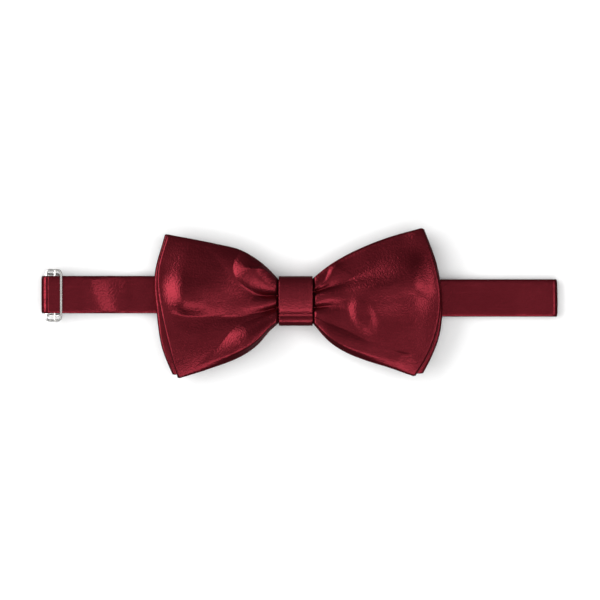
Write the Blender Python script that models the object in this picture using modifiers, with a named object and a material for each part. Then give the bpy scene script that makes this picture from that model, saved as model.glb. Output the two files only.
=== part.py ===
"""A pre-tied bow tie, lying on its back as a flat closed loop.

Two stacked satin bows are gathered at the waist and held by a satin knot. The knot is a tunnel,
and the neck band's front run passes through it. At the left end the band turns round the hook's
slot bar and is sewn to a three-bar slide. Its other end is sewn round the eye that the hook holds.

Metres, +Z up, +X to the wearer's left. The lowest face of the band lies on Z = 0.
"""

import math

import bmesh
import bpy
import numpy as np
from mathutils import Vector

MM = 0.001

# ---- driving dimensions -------------------------------------------------------------------------
OVERALL_LENGTH = 215.4 * MM

# neck band: a flat satin tube with a woven interlining inside it
BAND_WIDTH = 15.6 * MM
BAND_THICKNESS = 1.0 * MM
EYE_END_SHARE = 0.74  # width of the end that is sewn round the eye, as a share of the band's
BAND_WALL = 0.25 * MM
BAND_CORE = 0.24 * MM  # thickness of the interlining
CORE_SIDE_ROOM = 0.6 * MM  # from the tube's edge to the interlining's edge
BACK_RUN_Z = BAND_THICKNESS / 2
FRONT_RUN_Z = 3.4 * MM
RAISED_RUN_Z = 6.95 * MM  # where the front run passes over the slide and the hook
BAND_Y_LEFT = 3.5 * MM  # the band lies a little askew behind the bow
BAND_Y_MIDDLE = 1.2 * MM
BAND_Y_RIGHT = 2.1 * MM
BOW_TRAVEL_ZONE = (-24.0 * MM, 28.0 * MM)  # the straight stretch that the knot slides on
BESIDE_BOW = 62.0 * MM  # from here outwards the band shows beside the bow

# knot: the tunnel of satin round both bows and the front run
KNOT_X = -1.6 * MM
KNOT_Y = 0.85 * MM
KNOT_WIDTH = 14.1 * MM
KNOT_HALF_HEIGHT = 9.85 * MM
KNOT_BOTTOM = 1.6 * MM
KNOT_TOP = 11.4 * MM
KNOT_WALL = 0.5 * MM
LINING_WALL = 0.3 * MM
PLY_GAP = 0.15 * MM  # between a satin ply and the interlining behind it
KNOT_FACE_CORNER = 3.0 * MM
KNOT_BACK_CORNER = 1.6 * MM
SEAM_SLIT = 0.6 * MM

# bows
WAIST_HALF_HEIGHT = 8.0 * MM
WAIST_HALF_WIDTH = 7.4 * MM
BOW_PLY = 0.5 * MM
WAIST_PUFF = 1.1 * MM  # half of a bow's thickness at the waist
WING_PUFF = 1.65 * MM  # how much fuller a wing is at its middle
REAR_BOW_BASE = 4.95 * MM
WING_LIFT = 2.3 * MM
CORNER_DROOP = 2.2 * MM
BOW_GAP_WAIST = 0.3 * MM
BOW_GAP_WING = 0.5 * MM
FLARE_SHARPNESS = 0.13  # how quickly the hems spread after the waist
FOLD_PUFF = 0.35 * MM  # the folded ends are this much fuller than the waist
FOLD_STEPS = 6

# Each wing: (top corner, bottom corner, how far the folded end bulges past the straight line).
REAR_WINGS = {
    -1: ((-56.4 * MM, 28.5 * MM), (-53.1 * MM, -29.9 * MM), 5.6 * MM),
    1: ((51.9 * MM, 31.1 * MM), (51.7 * MM, -29.4 * MM), 7.8 * MM),
}
FRONT_WINGS = {
    -1: ((-55.2 * MM, 27.5 * MM), (-50.8 * MM, -31.2 * MM), 5.2 * MM),
    1: ((50.5 * MM, 30.2 * MM), (48.4 * MM, -30.4 * MM), 9.0 * MM),
}

# three-bar slide adjuster
SLIDE_WIRE = 0.5 * MM  # radius of its bars
SLIDE_Y = 3.2 * MM
SLIDE_HALF_LENGTH = 10.5 * MM  # to the middle of its end rails
SLIDE_CORNER = 1.9 * MM
LEFT_BAR = (-105.8 * MM, 5.4 * MM)  # X and Z of each bar
CENTRE_BAR = (-102.1 * MM, 4.4 * MM)
RIGHT_BAR = (-99.3 * MM, 8.25 * MM)

# band end sewn round the slide's centre bar
TAIL_THICKNESS = 0.6 * MM
TAIL_Z = 3.0 * MM
TAIL_TOP_Z = 5.6 * MM

# hook and eye, bent from wire
CLASP_WIRE = 0.4 * MM
HOOK_HALF_WIDTH = 8.7 * MM  # wide enough for the band at full width
EYE_HALF_WIDTH = 6.6 * MM
SLOT_BAR = (-105.4 * MM, 4.15 * MM)
HOOK_Z = 0.55 * MM
HOOK_NECK_HALF = 2.2 * MM
HOOK_TIP_X = -90.6 * MM
HOOK_TIP_Z = 1.7 * MM
EYE_Z = 1.65 * MM
EYE_FRONT_X = -91.9 * MM
EYE_BAR_X = -85.6 * MM

THREAD = 0.1 * MM  # radius of the sewing thread
WAIST_THREAD = 0.2 * MM
WAIST_TURNS = 3

SATIN = (0.125, 0.012, 0.019)
SATIN_DEEP = (0.095, 0.009, 0.014)
INTERLINING = (0.62, 0.58, 0.52)
THREAD_RED = (0.10, 0.010, 0.016)
NICKEL = (0.62, 0.62, 0.60)


# ---- small helpers ------------------------------------------------------------------------------
def smooth(t):
    """0 below 0, 1 above 1, and an S-shaped rise between."""
    t = np.clip(t, 0.0, 1.0)
    return t * t * (3.0 - 2.0 * t)


def material(name, colour, roughness, metallic=0.0):
    made = bpy.data.materials.get(name) or bpy.data.materials.new(name)
    made.use_nodes = True
    shader = made.node_tree.nodes["Principled BSDF"]
    shader.inputs["Base Color"].default_value = (*colour, 1.0)
    shader.inputs["Roughness"].default_value = roughness
    shader.inputs["Metallic"].default_value = metallic
    return made


def put(name, data, finish, origin=(0.0, 0.0, 0.0)):
    """An object of that name in the part's collection, with its own material."""
    made = bpy.data.objects.new(name, data)
    made.location = origin
    data.materials.append(finish)
    PARTS.objects.link(made)
    return made


def mesh_of(name, points, faces):
    mesh = bpy.data.meshes.new(name)
    mesh.from_pydata([tuple(p) for p in points], [], faces)
    mesh.update()
    mesh.shade_smooth()
    mesh.set_sharp_from_angle(angle=math.radians(40))
    return mesh


def grid_faces(rows, columns):
    return [
        (r * columns + c, r * columns + c + 1, (r + 1) * columns + c + 1, (r + 1) * columns + c)
        for r in range(rows - 1)
        for c in range(columns - 1)
    ]


def solidify(made, thickness):
    """Thickens an open sheet on the side that its faces look away from."""
    shell = made.modifiers.new("thickness", "SOLIDIFY")
    shell.thickness = thickness
    shell.offset = -1.0
    shell.use_even_offset = False


def rounded(corners, radius, steps=4, closed=True):
    """A path through the corners, each replaced by a bend of the one radius, or of its own."""
    points = [Vector(c) for c in corners]
    count = len(points)
    radii = [radius] * count if isinstance(radius, float) else radius
    path = []
    for i, corner in enumerate(points):
        if not closed and i in (0, count - 1):
            path.append(corner)
            continue
        before = points[i - 1] - corner
        after = points[(i + 1) % count] - corner
        reach = min(radii[i], before.length * 0.48, after.length * 0.48)
        start = corner + before.normalized() * reach
        end = corner + after.normalized() * reach
        for k in range(steps + 1):
            t = k / steps
            path.append(start * (1 - t) ** 2 + corner * 2 * t * (1 - t) + end * t * t)
    return path


def wire(name, points, radius, finish, closed=False, origin=(0.0, 0.0, 0.0), sides=2):
    """A round wire or thread along the points; its origin is the given point."""
    curve = bpy.data.curves.new(name, "CURVE")
    curve.dimensions = "3D"
    curve.bevel_depth = radius
    curve.bevel_resolution = sides
    curve.use_fill_caps = not closed
    spline = curve.splines.new("POLY")
    spline.points.add(len(points) - 1)
    for point, place in zip(spline.points, points):
        point.co = (*(Vector(place) - Vector(origin)), 1.0)
    spline.use_cyclic_u = closed
    return put(name, curve, finish, origin)


def as_mesh(made):
    """The curve object as a closed mesh object of the same name."""
    name = made.name
    place = made.matrix_world.copy()
    place.translation = made.location
    evaluated = made.evaluated_get(bpy.context.evaluated_depsgraph_get())
    mesh = bpy.data.meshes.new_from_object(evaluated)
    curve = made.data
    bpy.data.objects.remove(made)
    bpy.data.curves.remove(curve)
    body = bmesh.new()
    body.from_mesh(mesh)
    bmesh.ops.remove_doubles(body, verts=body.verts, dist=1e-6)
    body.to_mesh(mesh)
    body.free()
    solid = bpy.data.objects.new(name, mesh)
    solid.matrix_world = place
    PARTS.objects.link(solid)
    return solid


def arc(centre_x, centre_z, radius, start, end, steps=8):
    """Points of an arc in the XZ plane; angles in degrees from +X towards +Z."""
    angles = np.radians(np.linspace(start, end, steps + 1))
    return [(centre_x + radius * math.cos(a), centre_z + radius * math.sin(a)) for a in angles]


def ramp(x0, z0, x1, z1, steps=7):
    """Points of an S-shaped change of height."""
    shares = np.linspace(0.0, 1.0, steps + 1)
    return [(x0 + (x1 - x0) * t, z0 + (z1 - z0) * float(smooth(t))) for t in shares]


# ---- neck band ----------------------------------------------------------------------------------
def band_y(x):
    """Sideways place of the band's middle line."""
    left = smooth((BOW_TRAVEL_ZONE[0] - x) / (BOW_TRAVEL_ZONE[0] + BESIDE_BOW))
    right = smooth((x - BOW_TRAVEL_ZONE[1]) / (BESIDE_BOW - BOW_TRAVEL_ZONE[1]))
    return (
        BAND_Y_MIDDLE + (BAND_Y_LEFT - BAND_Y_MIDDLE) * left + (BAND_Y_RIGHT - BAND_Y_MIDDLE) * right
    )


def band_route():
    """The band's middle line in XZ, from its end sewn at the eye to its end at the slide."""
    eye_turn = EYE_Z - BACK_RUN_Z
    upper_leg = EYE_Z + eye_turn
    right_turn = (FRONT_RUN_Z - BACK_RUN_Z) / 2
    right_x = OVERALL_LENGTH / 2 - BAND_THICKNESS / 2 - right_turn
    left_turn = (RAISED_RUN_Z - TAIL_Z) / 2
    left_x = -OVERALL_LENGTH / 2 + BAND_THICKNESS / 2 + left_turn
    points = [(-78.0 * MM, BACK_RUN_Z)]
    points += arc(EYE_BAR_X, EYE_Z, eye_turn, 270, 90)
    points += ramp(-80.5 * MM, upper_leg, -70.5 * MM, BACK_RUN_Z)
    points += [(x, BACK_RUN_Z) for x in np.linspace(-BESIDE_BOW, BESIDE_BOW, 11)]
    points += arc(right_x, BACK_RUN_Z + right_turn, right_turn, 270, 450)
    points += [(x, FRONT_RUN_Z) for x in np.linspace(BESIDE_BOW, -48.0 * MM, 10)]
    points += ramp(-BESIDE_BOW, FRONT_RUN_Z, -84.0 * MM, RAISED_RUN_Z)
    points += arc(left_x, RAISED_RUN_Z - left_turn, left_turn, 90, 270)
    points.append((-104.6 * MM, TAIL_Z))
    return points


def band_widths(count):
    """The band's share of its full width at each point of its route: its eye end is narrower."""
    past_the_turn = (np.arange(count) - 10) / 7
    return EYE_END_SHARE + (1 - EYE_END_SHARE) * smooth(past_the_turn)


def section(width, height, corner):
    """A flat rounded section: (across, out) pairs, twelve points."""
    half_width = width / 2 - corner
    half_height = height / 2 - corner
    ring = []
    for across, out, start in ((1, 1, 0), (-1, 1, 90), (-1, -1, 180), (1, -1, 270)):
        for k in range(3):
            angle = math.radians(start + 45 * k)
            ring.append(
                (
                    across * half_width + corner * math.cos(angle),
                    out * half_height + corner * math.sin(angle),
                )
            )
    return ring


def carried(route, ring, middle, widths):
    """The ring of a section carried along a route in XZ, its width scaled at each point."""
    path = np.array(route)
    ahead = np.gradient(path, axis=0)
    ahead /= np.linalg.norm(ahead, axis=1)[:, None]
    normal = np.stack([-ahead[:, 1], ahead[:, 0]], axis=1)
    shape = np.array(ring)
    x = path[:, None, 0] + normal[:, None, 0] * shape[None, :, 1]
    z = path[:, None, 1] + normal[:, None, 1] * shape[None, :, 1]
    y = middle(path[:, 0])[:, None] + shape[None, :, 0] * np.broadcast_to(widths, len(path))[:, None]
    return np.stack([x, y, z], axis=2)


def ring_faces(first, rings, sides, flip=False):
    """Quads between neighbouring rings of points, numbered from first."""
    faces = []
    for r in range(rings - 1):
        for s in range(sides):
            a = first + r * sides + s
            b = first + r * sides + (s + 1) % sides
            quad = (a, b, b + sides, a + sides)
            faces.append(quad[::-1] if flip else quad)
    return faces


def strip(name, route, ring, middle, finish, widths=1.0):
    """A solid strip of that section along the route."""
    rings = carried(route, ring, middle, widths)
    count, sides = rings.shape[:2]
    faces = ring_faces(0, count, sides)
    faces.append(tuple(range(sides))[::-1])
    faces.append(tuple(range((count - 1) * sides, count * sides)))
    return closed_outwards(put(name, mesh_of(name, rings.reshape(-1, 3), faces), finish))


def tube_strip(name, route, outer, inner, middle, finish, widths):
    """A hollow strip, open at both ends."""
    outside = carried(route, outer, middle, widths)
    inside = carried(route, inner, middle, widths)
    count, sides = outside.shape[:2]
    first = count * sides
    faces = ring_faces(0, count, sides) + ring_faces(first, count, sides, flip=True)
    last = (count - 1) * sides
    for s in range(sides):
        n = (s + 1) % sides
        faces.append((n, s, first + s, first + n))
        faces.append((last + s, last + n, first + last + n, first + last + s))
    points = np.concatenate([outside.reshape(-1, 3), inside.reshape(-1, 3)])
    return closed_outwards(put(name, mesh_of(name, points, faces), finish))


def closed_outwards(made):
    """Turns every face of a closed mesh outwards."""
    body = bmesh.new()
    body.from_mesh(made.data)
    bmesh.ops.recalc_face_normals(body, faces=body.faces)
    body.to_mesh(made.data)
    body.free()
    return made


def neck_band():
    route = band_route()
    widths = band_widths(len(route))
    hollow = BAND_THICKNESS - 2 * BAND_WALL
    tube_strip(
        "neck_band_satin",
        route,
        section(BAND_WIDTH, BAND_THICKNESS, 0.4 * MM),
        section(BAND_WIDTH - 2 * BAND_WALL, hollow, 0.2 * MM),
        band_y,
        material("satin_band", SATIN_DEEP, 0.34),
        widths,
    )
    inset = 0.8 * MM  # the interlining stops short of the band's two ends
    core_route = [(route[0][0] - inset, route[0][1]), *route[1:-1]]
    width = BAND_WIDTH - 2 * CORE_SIDE_ROOM
    strip(
        "neck_band_interlining",
        core_route,
        [(-width / 2, -BAND_CORE / 2), (width / 2, -BAND_CORE / 2),
         (width / 2, BAND_CORE / 2), (-width / 2, BAND_CORE / 2)],
        band_y,
        material("interlining_band", INTERLINING, 0.9),
        widths[:-1],
    )


def stitches(name, start, across, along, count, finish):
    """One zigzag of thread: count bights, swinging across while it goes along."""
    start, across, along = Vector(start), Vector(across), Vector(along)
    points = [
        start + along * (k / count) + across * (0.5 if k % 2 else -0.5) for k in range(count + 1)
    ]
    return wire(name, points, THREAD, finish, sides=1)


def clasp():
    """The hook and the eye, each bent from one closed loop of wire."""
    nickel = material("nickel_clasp", NICKEL, 0.22, 1.0)
    y = BAND_Y_LEFT
    wide, neck = HOOK_HALF_WIDTH, HOOK_NECK_HALF
    slot_x, slot_z = SLOT_BAR
    half = [
        (slot_x, wide, slot_z),
        (slot_x, wide, HOOK_Z),
        (-100.6 * MM, wide, HOOK_Z),
        (-97.4 * MM, neck, HOOK_Z),
        (HOOK_TIP_X, neck, HOOK_Z),
        (HOOK_TIP_X, neck, HOOK_TIP_Z),
    ]
    loop = [(x, y + side, z) for x, side, z in half]
    loop += [(x, y - side, z) for x, side, z in reversed(half)]
    hinge = (slot_x, y, slot_z)
    wire("hook", rounded(loop, 0.9 * MM), CLASP_WIRE, nickel, closed=True, origin=hinge)
    ring = [
        (EYE_FRONT_X, y + EYE_HALF_WIDTH, EYE_Z),
        (EYE_BAR_X, y + EYE_HALF_WIDTH, EYE_Z),
        (EYE_BAR_X, y - EYE_HALF_WIDTH, EYE_Z),
        (EYE_FRONT_X, y - EYE_HALF_WIDTH, EYE_Z),
    ]
    pivot = (EYE_BAR_X, y, EYE_Z)
    wire("eye", rounded(ring, 1.0 * MM), CLASP_WIRE, nickel, closed=True, origin=pivot)
    stitches(
        "eye_bar_tack",
        (-81.6 * MM, y - 4.8 * MM, 3.55 * MM),
        (1.0 * MM, 0, 0),
        (0, 9.6 * MM, 0),
        11,
        material("thread_eye", THREAD_RED, 0.6),
    )


def slide_height(x):
    """Height of the slide's frame: level past the left bars, then up over the band."""
    low = LEFT_BAR[1] + (CENTRE_BAR[1] - LEFT_BAR[1]) * float(
        smooth((x - LEFT_BAR[0] - 0.6 * MM) / (CENTRE_BAR[0] - LEFT_BAR[0] - 1.2 * MM))
    )
    return low + (RIGHT_BAR[1] - low) * float(
        smooth((x - CENTRE_BAR[0]) / (RIGHT_BAR[0] - CENTRE_BAR[0] - 0.5 * MM))
    )


def slide():
    """A frame with three bars: the band runs over two of them and under the third."""
    nickel = material("nickel_slide", NICKEL, 0.2, 1.0)
    left, right = LEFT_BAR[0], RIGHT_BAR[0]
    half = SLIDE_HALF_LENGTH
    rail = [left + (right - left) * t for t in np.linspace(0, 1, 3)]
    corners = [(x, SLIDE_Y - half, 0) for x in rail] + [(x, SLIDE_Y + half, 0) for x in rail[::-1]]
    bend = rounded([corners[0], corners[2], corners[3], corners[5]], SLIDE_CORNER, 5)
    frame_path = []
    for here, there in zip(bend, bend[1:] + bend[:1]):
        pieces = 4 if abs(there.x - here.x) > 0.8 * MM else 1
        for k in range(pieces):
            at = here.lerp(there, k / pieces)
            frame_path.append((at.x, at.y, slide_height(at.x)))
    frame = as_mesh(wire("slide_adjuster", frame_path, SLIDE_WIRE, nickel, closed=True))
    reach = half - 0.1 * MM
    bar = as_mesh(
        wire(
            "centre_bar_cutter",
            [(CENTRE_BAR[0], SLIDE_Y - reach, CENTRE_BAR[1]), (CENTRE_BAR[0], SLIDE_Y + reach, CENTRE_BAR[1])],
            SLIDE_WIRE * 0.94,
            nickel,
        )
    )
    PARTS.objects.unlink(bar)
    CUTTERS.objects.link(bar)
    bar.hide_render = True
    bar.display_type = "WIRE"
    join = frame.modifiers.new("centre bar", "BOOLEAN")
    join.operation = "UNION"
    join.object = bar

    turn = (TAIL_TOP_Z - TAIL_Z) / 2
    route = [(-104.3 * MM, TAIL_Z), (-103.2 * MM, TAIL_Z)]
    route += arc(CENTRE_BAR[0], TAIL_Z + turn, turn, 270, 450)
    route += [(-102.7 * MM, 5.45 * MM), (-103.2 * MM, 5.05 * MM), (-103.6 * MM, 4.4 * MM), (-104.0 * MM, 3.9 * MM)]
    strip(
        "tail_end_loop",
        route,
        section(BAND_WIDTH - 0.4 * MM, TAIL_THICKNESS, 0.25 * MM),
        lambda x: np.full_like(x, BAND_Y_LEFT),
        material("satin_tail", SATIN_DEEP, 0.34),
    )
    stitches(
        "tail_bar_tack",
        (-103.4 * MM, BAND_Y_LEFT - 6.5 * MM, TAIL_Z - TAIL_THICKNESS / 2 - THREAD - 0.12 * MM),
        (0.9 * MM, 0, 0),
        (0, 13.0 * MM, 0),
        13,
        material("thread_tail", THREAD_RED, 0.6),
    )


# ---- bows ---------------------------------------------------------------------------------------
def puff(g, v):
    """Half of a wing's thickness: g runs from the waist to the folded end, v across it."""
    rise = (1 - (1 - g) ** 3) * (1 - 0.55 * g * g)
    return WAIST_PUFF + FOLD_PUFF * smooth(g) + WING_PUFF * rise * np.sqrt(np.clip(1 - v * v, 0, 1))


def underside(g, v):
    """Height of the rear bow's lower face."""
    return REAR_BOW_BASE + WING_LIFT * smooth(g) - CORNER_DROOP * g * g * np.abs(v) ** 3


def middle_height(g, v, is_front):
    half = puff(g, v)
    low = underside(g, v)
    if not is_front:
        return low + half
    gap = BOW_GAP_WAIST + (BOW_GAP_WING - BOW_GAP_WAIST) * smooth(g * 4)
    return low + 2 * half + gap + half


def hem_height(corner_y, waist_y, g):
    """Y of a hem: it flares just after the waist and then runs nearly straight to the corner."""
    burst = (1 - np.exp(-g / FLARE_SHARPNESS)) / (1 - math.exp(-1 / FLARE_SHARPNESS))
    return waist_y + (corner_y - waist_y) * (0.5 * g + 0.5 * burst)


def half_bow(wings, side, is_front, steps, across):
    """One wing of a bow's loop: the back from the waist out, round the fold, the face back in."""
    top, bottom, bulge = wings[side]
    v = np.linspace(-1, 1, across)[None, :]
    spread = np.linspace(0, 1, steps) ** 1.3
    outward_run = np.concatenate([[0.0], spread])[:, None]
    reach = np.abs(0.5 * (top[0] + bottom[0]) + 0.5 * (top[0] - bottom[0]) * v - KNOT_X)
    reach = reach + bulge * (1 - v * v)
    fold = puff(np.ones_like(v), v)
    x = KNOT_X + side * (WAIST_HALF_WIDTH + (reach - fold - WAIST_HALF_WIDTH) * outward_run)
    x[0] = KNOT_X + side * SEAM_SLIT / 2
    z = middle_height(outward_run, v, is_front)
    half = puff(outward_run, v) + 0 * x
    turn = np.radians(np.linspace(-90, 90, FOLD_STEPS + 1))[1:-1, None]
    turn_x = x[-1:] + side * fold * np.cos(turn)
    turn_z = z[-1:] + fold * np.sin(turn)
    g = np.concatenate([outward_run, np.ones((FOLD_STEPS - 1, 1)), outward_run[::-1]])
    high = hem_height(top[1], KNOT_Y + WAIST_HALF_HEIGHT, g)
    low = hem_height(bottom[1], KNOT_Y - WAIST_HALF_HEIGHT, g)
    y = low + (high - low) * (v + 1) / 2
    all_x = np.concatenate([x, turn_x, x[::-1]])
    all_z = np.concatenate([z - half, turn_z, (z + half)[::-1]])
    return np.stack([all_x, y, all_z], axis=2)


def bow_loop(wings, is_front, steps=8, across=9):
    """The satin strip of one bow: from its seam at the back, out to both folded ends and over."""
    right = half_bow(wings, 1, is_front, steps, across)
    left = half_bow(wings, -1, is_front, steps, across)
    return np.concatenate([right, left[::-1]])


def outward(grid):
    """Unit normals of a grid of points, pointing out of the loop."""
    along = np.gradient(grid, axis=0)
    across = np.gradient(grid, axis=1)
    normal = np.cross(across, along)
    return normal / np.linalg.norm(normal, axis=2)[:, :, None]


def sheet(name, grid, inset, thickness, finish, trim=0):
    """A ply that follows the loop's surface, inset from it, and short of its rim by trim rows."""
    normal = outward(grid)
    points = grid - normal * inset
    if trim:
        points, normal = points[trim:-trim, trim:-trim], normal[trim:-trim, trim:-trim]
    rows, columns = points.shape[:2]
    mesh = mesh_of(name, points.reshape(-1, 3), grid_faces(rows, columns))
    middle = rows // 4
    face = mesh.polygons[middle * (columns - 1) + columns // 2]
    if face.normal.dot(Vector(normal[middle, columns // 2])) < 0:
        mesh.flip_normals()
    made = put(name, mesh, finish)
    solidify(made, thickness)
    return made


def bows():
    for name, wings, is_front in (
        ("front_bow", FRONT_WINGS, True),
        ("rear_bow", REAR_WINGS, False),
    ):
        grid = bow_loop(wings, is_front)
        sheet(name + "_satin", grid, 0.0, BOW_PLY, material("satin_" + name, SATIN, 0.3))
        sheet(
            name + "_interlining",
            grid,
            BOW_PLY + PLY_GAP,
            LINING_WALL,
            material("interlining_" + name, INTERLINING, 0.9),
            trim=1,
        )


def waist_thread():
    """Thread wound round the waist of both bows."""
    z_low, z_high = 4.55 * MM, 10.05 * MM
    half_y = WAIST_HALF_HEIGHT + 0.4 * MM
    turn = rounded(
        [(0, half_y, z_low), (0, half_y, z_high), (0, -half_y, z_high), (0, -half_y, z_low)],
        1.0 * MM,
        2,
    )
    pitch = 0.7 * MM
    points = []
    for k in range(WAIST_TURNS * len(turn)):
        at = turn[k % len(turn)]
        shift = pitch * (k / len(turn) - WAIST_TURNS / 2)
        points.append((KNOT_X + shift, KNOT_Y + at.y, at.z))
    wire("waist_thread", points, WAIST_THREAD, material("thread_waist", THREAD_RED, 0.6), sides=1)


# ---- knot ---------------------------------------------------------------------------------------
def knot_loop(inset, width, name, thickness, finish):
    """An open loop round the waist, slit at the back where its ends are sewn together."""
    low_corner, high_corner = KNOT_BACK_CORNER - inset, KNOT_FACE_CORNER - inset
    half = KNOT_HALF_HEIGHT - inset
    low, high = KNOT_BOTTOM + inset, KNOT_TOP - inset
    slit = SEAM_SLIT / 2
    section_path = rounded(
        [(0, slit, low), (0, half, low), (0, half, high), (0, -half, high), (0, -half, low), (0, -slit, low)],
        [0.0, low_corner, high_corner, high_corner, low_corner, 0.0],
        5,
        closed=False,
    )
    columns = [KNOT_X - width / 2, KNOT_X - width / 6, KNOT_X + width / 6, KNOT_X + width / 2]
    points = [(x, KNOT_Y + p.y, p.z) for p in section_path for x in columns]
    mesh = mesh_of(name, points, grid_faces(len(section_path), len(columns)))
    top = max(mesh.polygons, key=lambda f: f.center.z)
    if top.normal.z < 0:
        mesh.flip_normals()
    made = put(name, mesh, finish)
    solidify(made, thickness)
    return made


def knot():
    knot_loop(0.0, KNOT_WIDTH, "knot_wrap", KNOT_WALL, material("satin_knot", SATIN, 0.3))
    knot_loop(
        KNOT_WALL + PLY_GAP,
        KNOT_WIDTH - 1.0 * MM,
        "knot_interlining",
        LINING_WALL,
        material("interlining_knot", INTERLINING, 0.9),
    )
    stitches(
        "knot_back_stitches",
        (KNOT_X - 5.5 * MM, KNOT_Y, KNOT_BOTTOM - THREAD - 0.12 * MM),
        (0, 1.6 * MM, 0),
        (11.0 * MM, 0, 0),
        11,
        material("thread_knot", THREAD_RED, 0.6),
    )


for left_over in list(bpy.data.objects):
    bpy.data.objects.remove(left_over)
PARTS = bpy.data.collections.new("bow_tie")
CUTTERS = bpy.data.collections.new("cutters")
bpy.context.scene.collection.children.link(PARTS)
bpy.context.scene.collection.children.link(CUTTERS)

neck_band()
clasp()
slide()
bows()
waist_thread()
knot()
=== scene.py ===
# %% [markdown]
# # A pre-tied satin bow tie
# The tie lies on its back. Two stacked loops of satin are gathered at the waist, a knot of the
# same satin is wrapped round them, and the neck band runs through the knot and lies folded flat.
# The imported model gives every place and size. This script puts real cloth where the model has
# plain solids, gives its metal and thread parts real finishes, and never moves the model.

# %% Load the imported model
import math

import bpy
import numpy as np
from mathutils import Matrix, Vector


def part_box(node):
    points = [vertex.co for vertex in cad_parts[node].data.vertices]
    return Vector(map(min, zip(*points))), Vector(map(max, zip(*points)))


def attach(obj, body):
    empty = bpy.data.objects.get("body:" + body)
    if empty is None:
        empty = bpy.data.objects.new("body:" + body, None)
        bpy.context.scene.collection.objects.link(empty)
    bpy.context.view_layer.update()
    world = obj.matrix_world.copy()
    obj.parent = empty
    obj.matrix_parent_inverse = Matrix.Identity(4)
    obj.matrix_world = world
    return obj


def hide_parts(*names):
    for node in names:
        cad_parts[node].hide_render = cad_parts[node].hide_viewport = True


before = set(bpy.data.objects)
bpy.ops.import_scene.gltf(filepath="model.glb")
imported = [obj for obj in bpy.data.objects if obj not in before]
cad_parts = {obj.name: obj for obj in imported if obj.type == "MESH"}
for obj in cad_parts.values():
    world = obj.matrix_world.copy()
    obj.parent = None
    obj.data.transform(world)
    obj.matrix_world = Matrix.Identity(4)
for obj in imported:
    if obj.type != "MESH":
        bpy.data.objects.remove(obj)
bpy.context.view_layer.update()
MM = 0.001


KNOT_LOW, KNOT_HIGH = (np.array(corner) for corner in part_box("knot_wrap"))
BAND_LOW, BAND_HIGH = (np.array(corner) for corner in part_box("neck_band_satin"))
EYE_LOW, EYE_HIGH = (np.array(corner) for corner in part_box("eye"))

# %% [markdown]
# ## Camera
# The tie is seen straight from above. A very long lens far away keeps the edges of the band
# parallel, as they look from a distance, and still has perspective, so other views can be made.

# %% Camera
VIEW_WIDTH = 250 * MM
CAMERA_HEIGHT = 2.6
VIEW_MIDDLE = (0.2 * MM, 1.25 * MM)
TIE_HEIGHT = 8 * MM

camera_data = bpy.data.cameras.new("camera")
camera_data.sensor_width = 36.0
camera_data.lens = camera_data.sensor_width * (CAMERA_HEIGHT - TIE_HEIGHT) / VIEW_WIDTH
camera = bpy.data.objects.new("camera", camera_data)
camera.location = (*VIEW_MIDDLE, CAMERA_HEIGHT)
bpy.context.scene.collection.objects.link(camera)
bpy.context.scene.camera = camera
print("lens in mm", round(camera_data.lens, 1))

# %% [markdown]
# ## Writing shader maths as plain expressions
# A material is a graph of nodes. To keep the sums readable, a small class wraps one output socket,
# so that `1 - mask * 0.5` adds its Math nodes by itself. Colours go through Mix nodes, because a
# Math node would turn a colour grey.

# %% A value in a shader
OPERATIONS = {"add": "ADD", "sub": "SUBTRACT", "mul": "MULTIPLY"}


class Value:
    """One output socket of a material's node tree, with the operators that are used on it."""

    def __init__(self, maker, socket):
        self.maker = maker
        self.socket = socket

    def _sum(self, kind, first, second):
        return self.maker.node("ShaderNodeMath", {"operation": OPERATIONS[kind]}, {0: first, 1: second})

    def __add__(self, other):
        return self._sum("add", self, other)

    def __sub__(self, other):
        return self._sum("sub", self, other)

    def __rsub__(self, other):
        return self._sum("sub", other, self)

    def __mul__(self, other):
        return self._sum("mul", self, other)

    __radd__ = __add__
    __rmul__ = __mul__

    def between(self, low, high):
        """0 where the value is low, 1 where it is high, and smooth between."""
        settings = {"interpolation_type": "SMOOTHSTEP"}
        inputs = {"Value": self, "From Min": low, "From Max": high}
        return self.maker.node("ShaderNodeMapRange", settings, inputs)


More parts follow.
